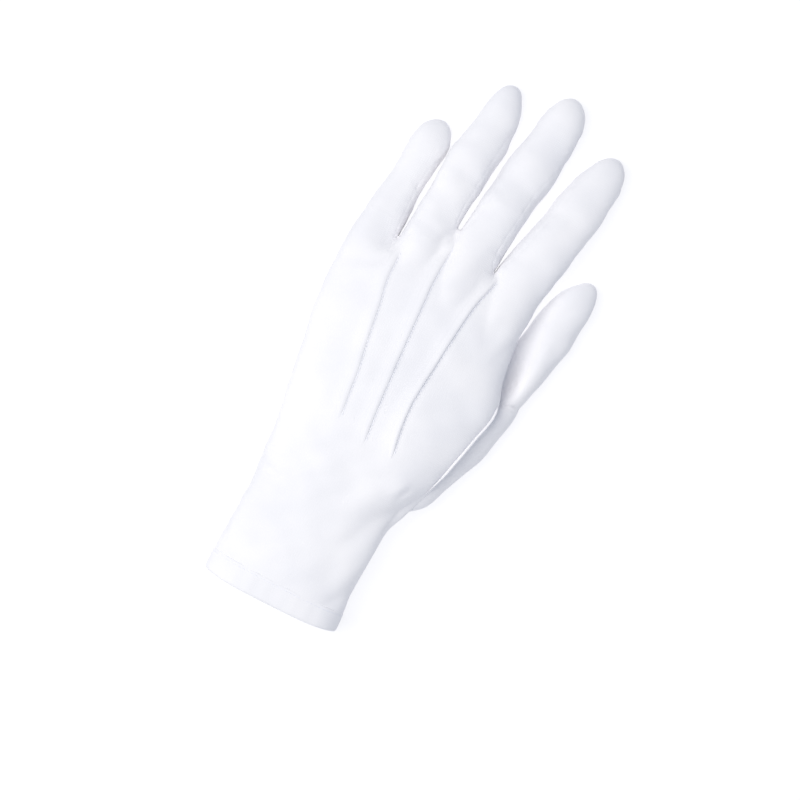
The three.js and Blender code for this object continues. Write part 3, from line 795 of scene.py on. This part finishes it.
def mottle(material, scale, detail, dark, light):
    """Makes a material's colour uneven, and returns the noise that it follows."""
    place = add_node(material, "ShaderNodeTexCoord")
    at_place = [("Vector", place, "Object")]
    noise = add_node(material, "ShaderNodeTexNoise", at_place, in_Scale=scale, in_Detail=detail)
    tone = add_node(material, "ShaderNodeValToRGB", [("Fac", noise, "Fac")])
    tone.color_ramp.elements[0].color = linear(dark)
    tone.color_ramp.elements[1].color = linear(light)
    surface = material.node_tree.nodes["Principled BSDF"]
    material.node_tree.links.new(tone.outputs["Color"], surface.inputs["Base Color"])
    return noise


thread = bpy.data.materials.new("white cotton thread")
thread.use_nodes = True
thread_surface = thread.node_tree.nodes["Principled BSDF"]
thread_surface.inputs["Roughness"].default_value = 0.7
thread_surface.inputs["Sheen Weight"].default_value = 0.3
mottle(thread, scale=2600.0, detail=2.0, dark="#DDE0EE", light="#FAFBFF")

hand_tree = BVHTree.FromPolygons(points.tolist(), triangles[label != GONE].tolist())


def back_at(x, y):
    """The back of the hand straight below a place in plan, and which way it faces."""
    hit, facing, _, _ = hand_tree.ray_cast(Vector((x, y, 60)), Vector((0, 0, -1)))
    return np.array(hit), np.array(facing)


def strip(rings, closed=False):
    """Points and faces of a strip through rings with the same number of corners."""
    count, sides = len(rings), len(rings[0])
    grid = np.arange(count * sides).reshape(count, sides)
    ahead = np.roll(grid, -1, 0) if closed else grid[1:]
    here = grid if closed else grid[:-1]
    faces = np.stack([here, np.roll(here, -1, 1), np.roll(ahead, -1, 1), ahead], -1).reshape(-1, 4).tolist()
    if not closed:
        faces += [grid[0, ::-1].tolist(), grid[-1].tolist()]
    return np.concatenate(rings), faces


def stitches(path, facing):
    """Points and faces of a row of stitches along a path, small ovals that lie on the cloth."""
    steps = np.linalg.norm(np.diff(path, axis=0), axis=1)
    run = np.concatenate([[0], np.cumsum(steps)])
    middles = np.arange(STITCH["pitch"] / 2, run[-1], STITCH["pitch"])
    made, faces = [], []
    sides = 6
    ring = np.radians(np.arange(sides) * 360 / sides)
    for s in middles:
        at = np.array([np.interp(s, run, path[:, k]) for k in range(3)])
        ends = [np.array([np.interp(s + d, run, path[:, k]) for k in range(3)]) for d in (-0.5, 0.5)]
        ahead = (ends[1] - ends[0]) / max(np.linalg.norm(ends[1] - ends[0]), 1e-6)
        up = np.array([np.interp(s, run, facing[:, k]) for k in range(3)])
        side = np.cross(ahead, up)
        side /= np.linalg.norm(side)
        up = np.cross(side, ahead)
        base = sum(len(m) for m in made)
        for place, size in ((-1, 0.25), (-0.7, 0.85), (0, 1), (0.7, 0.85), (1, 0.25)):
            centre = at + ahead * place * STITCH["length"] / 2 + up * 0.12 * (1 - 2 * place * place)
            spread = np.cos(ring)[:, None] * side + np.sin(ring)[:, None] * up
            made.append(centre + spread * size * STITCH["thick"] / 2)
        for low in range(base, base + 4 * sides, sides):
            for i in range(sides):
                j = (i + 1) % sides
                faces.append([low + i, low + j, low + sides + j, low + sides + i])
        faces += [[base + i for i in reversed(range(sides))], [base + 4 * sides + i for i in range(sides)]]
    return np.concatenate(made), faces


def sew(piece, rows):
    """Joins rows of stitches to a piece, as its second material."""
    for row in rows:
        thread_piece = mesh_object("stitches", *row)
        thread_piece.data.materials.append(cotton)
        thread_piece.data.materials.append(thread)
        for face in thread_piece.data.polygons:
            face.material_index = 1
        lay_cloth(thread_piece, *points_of(thread_piece).T[:2])
        select_only(thread_piece)
        piece.select_set(True)
        bpy.context.view_layer.objects.active = piece
        bpy.ops.object.join()


for name, rows in POINTS.items():
    start, end = rows["y"][0], rows["y"][-1]
    rings, foot, foot_facing, spread, length = [], [], [], [], []
    for y in np.arange(start - 2, end + 2.01, RING_STEP):
        fade = float(smooth_step((y - start + 3) / 9) * smooth_step((end + 3 - y) / 7))
        wave = 1 + 0.07 * math.sin(y * 2.6) + 0.06 * math.sin(y * 1.1 + len(name))
        x = float(read(rows, "x", y))
        ring = []
        for across, lift in zip(PROFILE["across"], PROFILE["lift"]):
            place, facing = back_at(x + across * (0.45 + 0.55 * fade), y)
            height = lift * POINT_HEIGHT[name] * wave * fade if lift > 0 else lift
            ring.append(place + facing * (height - 0.1 * (1 - fade)))
            spread.append(across)
            length.append(y)
        rings.append(np.array(ring))
        if fade > 0.5:
            place, facing = back_at(x + 1.2, y)
            foot.append(place + facing * 0.08)
            foot_facing.append(facing)
    ridge = mesh_object("point_" + name + "_tuck", *strip(rings))
    lay_cloth(ridge, np.array(spread), np.array(length))
    face_outwards(ridge)
    apply_modifier(ridge, "SUBSURF", levels=1, render_levels=1)
    ridge.data.shade_smooth()
    ridge.data.materials.append(cotton)
    ridge.data.materials.append(thread)
    sew(ridge, [stitches(np.array(foot), np.array(foot_facing))])
    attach(ridge, "root")
    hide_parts("point_" + name)

# Raised seam at the thumb's edge of the hand.
# The two panels meet here with their edges outwards, so the seam stands up as a thin round bead.

WELT = table("y x", [(70, 32.7), (72, 33.2), (80, 35.2), (92, 37.6), (102, 39.4), (112, 41.2), (118, 40.8)])
BEAD_RADIUS = 0.55
turn = np.radians(np.arange(0, 360, 22.5))
rings, spread, length = [], [], []
for y in np.arange(70, 118.1, RING_STEP):
    fade = float(smooth_step((y - 69) / 14) * smooth_step((119 - y) / 4)) + 0.05
    near, facing = back_at(float(read(WELT, "x", y)), y)
    side = np.cross(facing, (0, 1, 0))
    side /= np.linalg.norm(side)
    gather = 1 + 0.08 * math.sin(2 * math.pi * y / 2.6)
    centre = near + facing * (0.1 + 0.35 * fade)
    ring = centre + fade * gather * (
        BEAD_RADIUS * np.cos(turn)[:, None] * side + BEAD_RADIUS * np.sin(turn)[:, None] * facing
    )
    rings.append(ring)
    spread += turn.tolist()
    length += [y] * len(turn)
welt = mesh_object("side_seam_bead", *strip(rings))
lay_cloth(welt, np.array(spread), np.array(length))
face_outwards(welt)
welt.data.shade_smooth()
welt.data.materials.append(cotton)
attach(welt, "root")
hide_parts("side_welt")

# Folded hem of the cuff.
# The cloth is turned in once and held by a row of stitches, so it is double and its edge is round.

HEM_CLOTH = 2.0
HEM_PROFILE = table("along inset", [
    (9.0, 0.75), (8.95, 0.1), (8.6, -0.16), (8.1, -0.2), (7.7, -0.02), (7.3, -0.2), (6.0, -0.26),
    (4.0, -0.26), (2.2, -0.3), (1.0, -0.2), (0.3, 0.15), (0.0, 0.8), (0.15, 1.45), (0.8, 1.9),
    (2.0, HEM_CLOTH), (5.0, HEM_CLOTH), (8.6, HEM_CLOTH), (9.0, 1.6),
])
GROOVE = 4  # the step of the profile that the stitches lie on, and the one beside it
BESIDE = 5


def cuff_at(y, inset, turn):
    """Places of the cuff's section that is taken at y, drawn in from its outside."""
    s = {name: float(read(PALM, name, y)) for name in PALM if name != "y"}
    width = (s["right"] - s["left"]) / 2
    across = (width - inset) * rounded(np.cos(turn), PALM_SQUARE)
    rise = rounded(np.sin(turn), PALM_SQUARE)
    tall = np.where(rise > 0, s["top"] - s["side"] - inset, s["side"] - s["bottom"] - inset)
    plan = y + s["slant"] * across - s["bow"] * (1 - (across / width) ** 4)
    return np.stack([(s["left"] + s["right"]) / 2 + across, plan, s["side"] + tall * rise], 1)


turn = np.radians(np.arange(0, 360, 1.8))
rings = np.array([cuff_at(y, inset, turn) for y, inset in zip(HEM_PROFILE["along"], HEM_PROFILE["inset"])])
outside = rings[BESIDE]
outward = outside - cuff_at(HEM_PROFILE["along"][BESIDE], 3.0, turn)
outward /= np.linalg.norm(outward, axis=1)[:, None]
lift = slack(outside) + 0.10 * waves(outside, seed=31, count=14, shortest=6.0, longest=12.0)
rings = rings + (outward * lift[:, None])[None]
rings = rings.transpose(1, 0, 2)
hem = mesh_object("cuff_hem_cloth", *strip(list(rings), closed=True))
girth = np.concatenate([[0], np.cumsum(np.linalg.norm(np.diff(outside, axis=0), axis=1))])
around_edge = HEM_PROFILE["along"] - 2 * HEM_PROFILE["inset"]
lay_cloth(hem, np.repeat(girth, rings.shape[1]), np.tile(around_edge, len(turn)))
face_outwards(hem)
apply_modifier(hem, "SUBSURF", levels=1, render_levels=1)
hem.data.shade_smooth()
hem.data.materials.append(cotton)
hem.data.materials.append(thread)
row = np.concatenate([rings[:, GROOVE] + outward * 0.05, rings[:1, GROOVE] + outward[:1] * 0.05])
sew(hem, [stitches(row, np.concatenate([outward, outward[:1]]))])
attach(hem, "root")
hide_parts("cuff_hem")

# Tab of the cuff.
# At the inner wrist the end of the palm panel laps over the cuff as a rounded tab with a turned edge.
# It comes out of the cuff at its thumb side and lies flat over the vent's lower end.

TAB_LIFT = 0.35
TAB_THICK = 1.3
TAB_GRAIN = 0.34
TAB_FOOT = -1.6
TAB_TOP = 37
TAB_ROOT = 13.0
TAB_EDGE = table("y x", [
    (TAB_FOOT, -2.6), (0.4, -4.6), (3, -6.6), (6, -8.5), (12, -10.2), (18, -10.5), (25, -9.8), (31, -6),
    (34, -3.6), (TAB_TOP, -2.4),
])
MOUTH_MIDDLE = -1.6  # the cuff's mouth in plan
MOUTH_HALF = 30.4


def under_at(x, y):
    """Level of the cuff's underside at a place in plan."""
    middle, half = centre_and_half(PALM, y)
    across = x - middle
    section = y - read(PALM, "slant", y) * across + read(PALM, "bow", y) * (1 - (across / half) ** 4)
    section = np.maximum(section, 0)
    side = read(PALM, "side", section)
    drop = side - read(PALM, "bottom", section)
    level = side - drop * np.maximum(1 - np.abs(across / half) ** PALM_SQUARE, 0.01) ** (1 / PALM_SQUARE)
    places = np.stack([x, y, level], 1)
    return level - slack(places)


edge_y = np.concatenate([np.arange(TAB_FOOT, 3, 0.4), np.arange(3, TAB_TOP + 0.01, 0.8)])
edge = np.stack([read(TAB_EDGE, "x", edge_y), edge_y], 1)
outline = [(x, y, 0) for x, y in edge] + [(TAB_ROOT, TAB_TOP, 0), (TAB_ROOT, TAB_FOOT, 0)]
tab = mesh_object("cuff_tab_cloth", outline, [list(range(len(outline)))])
apply_modifier(tab, "SOLIDIFY", thickness=TAB_THICK * MM, offset=0)
apply_modifier(tab, "REMESH", mode="VOXEL", voxel_size=TAB_GRAIN * MM, adaptivity=0)
apply_modifier(tab, "SMOOTH", factor=0.5, iterations=5)
flat_tab = points_of(tab)
x, y, z = flat_tab.T
away, _ = distance_to(np.stack([x, y, 0 * x], 1), np.array([(a, b, 0) for a, b in edge]), reach=6.0)
# The tab's lower edge follows the mouth, which is slanted and bowed.
mouth_bow = read(PALM, "bow", 0) * (1 - ((x - MOUTH_MIDDLE) / MOUTH_HALF) ** 4)
mouth = read(PALM, "slant", 0) * (x - MOUTH_MIDDLE) - mouth_bow
bottom = y + 0.2 - mouth
# The tab sinks into the cuff at its root and at its top.
root = smooth_step((x - 3) / 8)
top = smooth_step((y - 31) / 5)
sunk = np.maximum(root, top)
bead = 0.22 * np.exp(-(((away - 0.9) / 0.7) ** 2)) - 0.12 * np.exp(-(((away - 2.2) / 0.35) ** 2))
hemmed = 0.25 * smooth_step((9.2 - bottom) / 0.5) - 0.2 * np.exp(-(((bottom - 8.6) / 0.4) ** 2))
lift = (TAB_LIFT + TAB_THICK / 2) * (1 - sunk) - 0.5 * sunk
lift = lift + z + np.where(z > 0, (bead + hemmed) * (1 - root), 0)
plan_y = y + (mouth - TAB_FOOT) * smooth_step((10 - y) / 10)
tab_points = np.stack([x, plan_y, under_at(x, plan_y) - lift], 1)
tab_points = settle(tab_points)
set_points(tab, tab_points)
lay_cloth(tab, x, y)
face_outwards(tab)
tab.data.shade_smooth()
tab.data.materials.append(cotton)
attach(tab, "root")
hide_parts("palm_panel")

# Binding of the vent.
# A narrow strip of the jersey is folded round the edge of the oval opening and sewn down.

BINDING = dict(middle=1.15, half_wide=1.25, half_thick=1.15)
turn = np.radians(np.arange(0, 360, 3))
around = np.radians(np.arange(0, 360, 22.5))
rings = []
for a in turn:
    gather = 1 + 0.05 * math.sin(20 * a)
    ring = []
    for b in around:
        out = BINDING["half_wide"] * np.sign(np.cos(b)) * abs(np.cos(b)) ** 0.8
        x = VENT["x"] + (VENT["half_x"] + BINDING["middle"] + out) * math.cos(a)
        y = VENT["y"] + (VENT["half_y"] + BINDING["middle"] + out) * math.sin(a)
        ring.append((x, y, 0.5 - BINDING["half_thick"] * gather * np.sin(b)))
    rings.append(np.array(ring))
rings = np.array(rings)
x, y = rings[..., 0].ravel(), rings[..., 1].ravel()
rings[..., 2] += under_at(x, y).reshape(rings.shape[:2])
binding = mesh_object("vent_binding_cloth", *strip(list(rings), closed=True))
lay_cloth(binding, np.tile(around * 1.2, len(turn)), np.repeat(turn * 10, len(around)))
face_outwards(binding)
binding.data.shade_smooth()
binding.data.materials.append(cotton)
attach(binding, "root")
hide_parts("vent_binding")

# Press stud.
# A domed cap of moulded white plastic outside the tab, and inside the cuff the stud that it snaps on,
# whose post passes both layers of cloth.

STUD = dict(x=-1.5, y=15.0, cap=6.75, cap_height=2.85, post=2.0, base=4.5, base_height=1.2)
plastic = bpy.data.materials.new("moulded white plastic")
plastic.use_nodes = True
plastic_surface = plastic.node_tree.nodes["Principled BSDF"]
plastic_surface.inputs["Roughness"].default_value = 0.22
plastic_surface.inputs["Coat Weight"].default_value = 0.3
plastic_surface.inputs["Coat Roughness"].default_value = 0.1
cloud = mottle(plastic, scale=260.0, detail=4.0, dark="#F1F4F3", light="#FAFCFB")
cloud_links = [("Height", cloud, "Fac")]
wear = add_node(plastic, "ShaderNodeBump", cloud_links, in_Strength=0.08, in_Distance=0.05 * MM)
plastic.node_tree.links.new(wear.outputs["Normal"], plastic_surface.inputs["Normal"])


def turned(name, profile, node):
    """A round piece: a circle extruded and scaled through a profile of radius and level."""
    centre = [STUD["x"] - ORIGIN[0], STUD["y"] - ORIGIN[1]]
    bpy.ops.object.select_all(action="DESELECT")
    radius, level = profile[0]
    bpy.ops.mesh.primitive_circle_add(vertices=64, radius=radius * MM, fill_type="NGON",
                                      location=(centre[0] * MM, centre[1] * MM, level * MM))
    piece = bpy.context.object
    piece.name = piece.data.name = name
    bpy.ops.object.mode_set(mode="EDIT")
    bpy.ops.mesh.select_all(action="SELECT")
    for wide, high in profile[1:]:
        bpy.ops.mesh.extrude_region_move(TRANSFORM_OT_translate={"value": (0, 0, (high - level) * MM)})
        bpy.ops.transform.resize(value=(wide / radius, wide / radius, 1))
        radius, level = wide, high
    bpy.ops.object.mode_set(mode="OBJECT")
    face_outwards(piece)
    bpy.ops.object.transform_apply(location=True, rotation=True, scale=True)
    bpy.ops.object.shade_smooth_by_angle(angle=math.radians(40))
    piece.data.materials.append(plastic)
    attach(piece, "root")
    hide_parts(node)


wide, high = STUD["cap"], STUD["cap_height"]
dome = [(0.12 * wide, 0.02)]
dome += [(wide * math.sin(a), 0.02 + 1.75 * (1 - math.cos(a))) for a in np.radians(np.arange(10, 91, 8))]
dome += [(wide, 2.1), (0.985 * wide, 2.45), (0.94 * wide, 2.7), (0.88 * wide, high)]
turned("stud_cap_dome", dome, "stud_cap")
low = float(read(PALM, "bottom", 10.0)) + CLOTH + 0.4
base, upper = STUD["base"], low + STUD["base_height"]
foot = [
    (STUD["post"], high + 0.3), (STUD["post"], low), (base - 0.3, low), (base, low + 0.3),
    (base, low + 0.8), (base - 0.4, upper), (1.6, upper), (1.4, low + 1.0), (0.3, low + 1.0),
]
turned("stud_post_inside", foot, "stud_post")

# Floor, light and camera.
# A white light table that glows faintly, so that shadows stay pale, a large soft light high above on
# the smallest finger's side, and the camera straight above, turned so that the fingers point up and to
# the right.

bpy.ops.object.select_all(action="DESELECT")
bpy.ops.mesh.primitive_plane_add(size=6, location=(0, 0, -0.0002))
floor = bpy.context.object
floor.name = "floor"
white = bpy.data.materials.new("white light table")
white.use_nodes = True
white_surface = white.node_tree.nodes["Principled BSDF"]
white_surface.inputs["Base Color"].default_value = linear("#98989A")
white_surface.inputs["Roughness"].default_value = 0.95
white_surface.inputs["Emission Color"].default_value = linear("#FDFDFF")
white_surface.inputs["Emission Strength"].default_value = 0.75
floor.data.materials.append(white)

world = bpy.data.worlds.new("studio")
bpy.context.scene.world = world
world.use_nodes = True
world.node_tree.nodes["Background"].inputs["Color"].default_value = linear("#E4ECFC")
world.node_tree.nodes["Background"].inputs["Strength"].default_value = 0.5

CAMERA_TURN = math.radians(30)
VIEW_CENTRE = Vector((4.04 - ORIGIN[0], 99.8 - ORIGIN[1], 18)) * MM
CAMERA_HEIGHT = 3.0
FIELD = 0.336  # metres across the picture
SENSOR = 36


def in_picture(right, up, out):
    """A direction given as the picture shows it: to the right, up, and out towards the camera."""
    c, s = math.cos(CAMERA_TURN), math.sin(CAMERA_TURN)
    return Vector((right * c - up * s, right * s + up * c, out))


light = bpy.data.objects.new("key", bpy.data.lights.new("key", "AREA"))
light.data.size = 1.0
light.data.energy = 14.6
light.data.color = (1.0, 0.965, 0.905)
light.location = in_picture(-0.36, 0.08, 1.0).normalized() * 1.4
light.rotation_euler = (-light.location).to_track_quat("-Z", "Y").to_euler()
bpy.context.collection.objects.link(light)

camera = bpy.data.objects.new("camera", bpy.data.cameras.new("camera"))
bpy.context.collection.objects.link(camera)
camera.data.sensor_width = SENSOR
camera.data.lens = SENSOR * CAMERA_HEIGHT / FIELD
camera.location = VIEW_CENTRE + Vector((0, 0, CAMERA_HEIGHT))
camera.rotation_euler = (0, 0, CAMERA_TURN)
bpy.context.scene.camera = camera
bpy.context.scene.view_settings.view_transform = "Standard"
